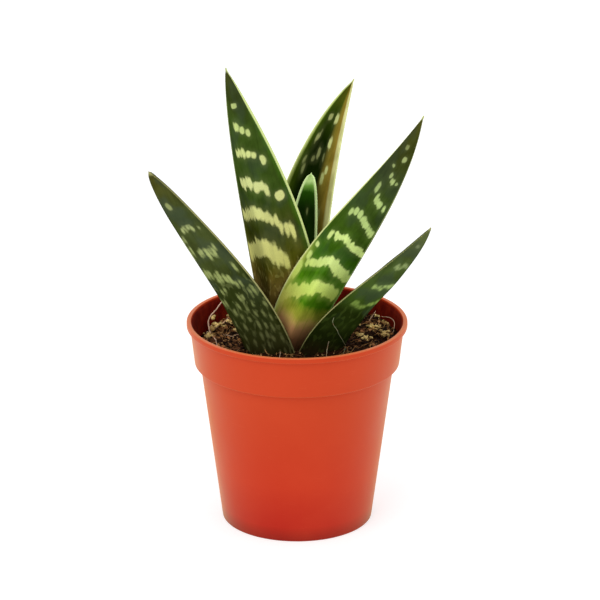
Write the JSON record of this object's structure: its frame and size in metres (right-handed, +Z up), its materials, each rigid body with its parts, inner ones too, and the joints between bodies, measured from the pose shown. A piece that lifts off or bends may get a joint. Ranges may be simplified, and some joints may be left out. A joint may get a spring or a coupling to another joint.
{
  "type": "potted tiger aloe",
  "caption": "Young tiger aloe: a rosette of upright keeled, white-banded succulent leaves growing from soil in a tapered round nursery pot with a banded rim.",
  "frame": {"origin": "centre of the flat pad under the pot, in the plane that the pot stands on", "axes": "+Z up along the pot's axis, +X to the right and -Y towards the viewer of the reference picture"},
  "size_m": [0.1106, 0.0977, 0.2024],
  "materials": {
    "pot_plastic": "satin moulded, terracotta orange",
    "potting_soil": "rough dark peat and bark crumbs with tan grains",
    "stem_bark": "dry and rough",
    "leaf_flesh": "waxy satin, dark green with pale cross bands and whitish margins"
  },
  "bodies": {
    "root": {"pot": "pot_plastic", "soil": "potting_soil", "stem": "stem_bark", "leaf_left_outer": "leaf_flesh", "leaf_right_outer": "leaf_flesh", "leaf_back_outer": "leaf_flesh", "leaf_front": "leaf_flesh", "leaf_left_inner": "leaf_flesh", "leaf_back_inner": "leaf_flesh", "leaf_heart": "leaf_flesh"}
  },
  "joints": []
}
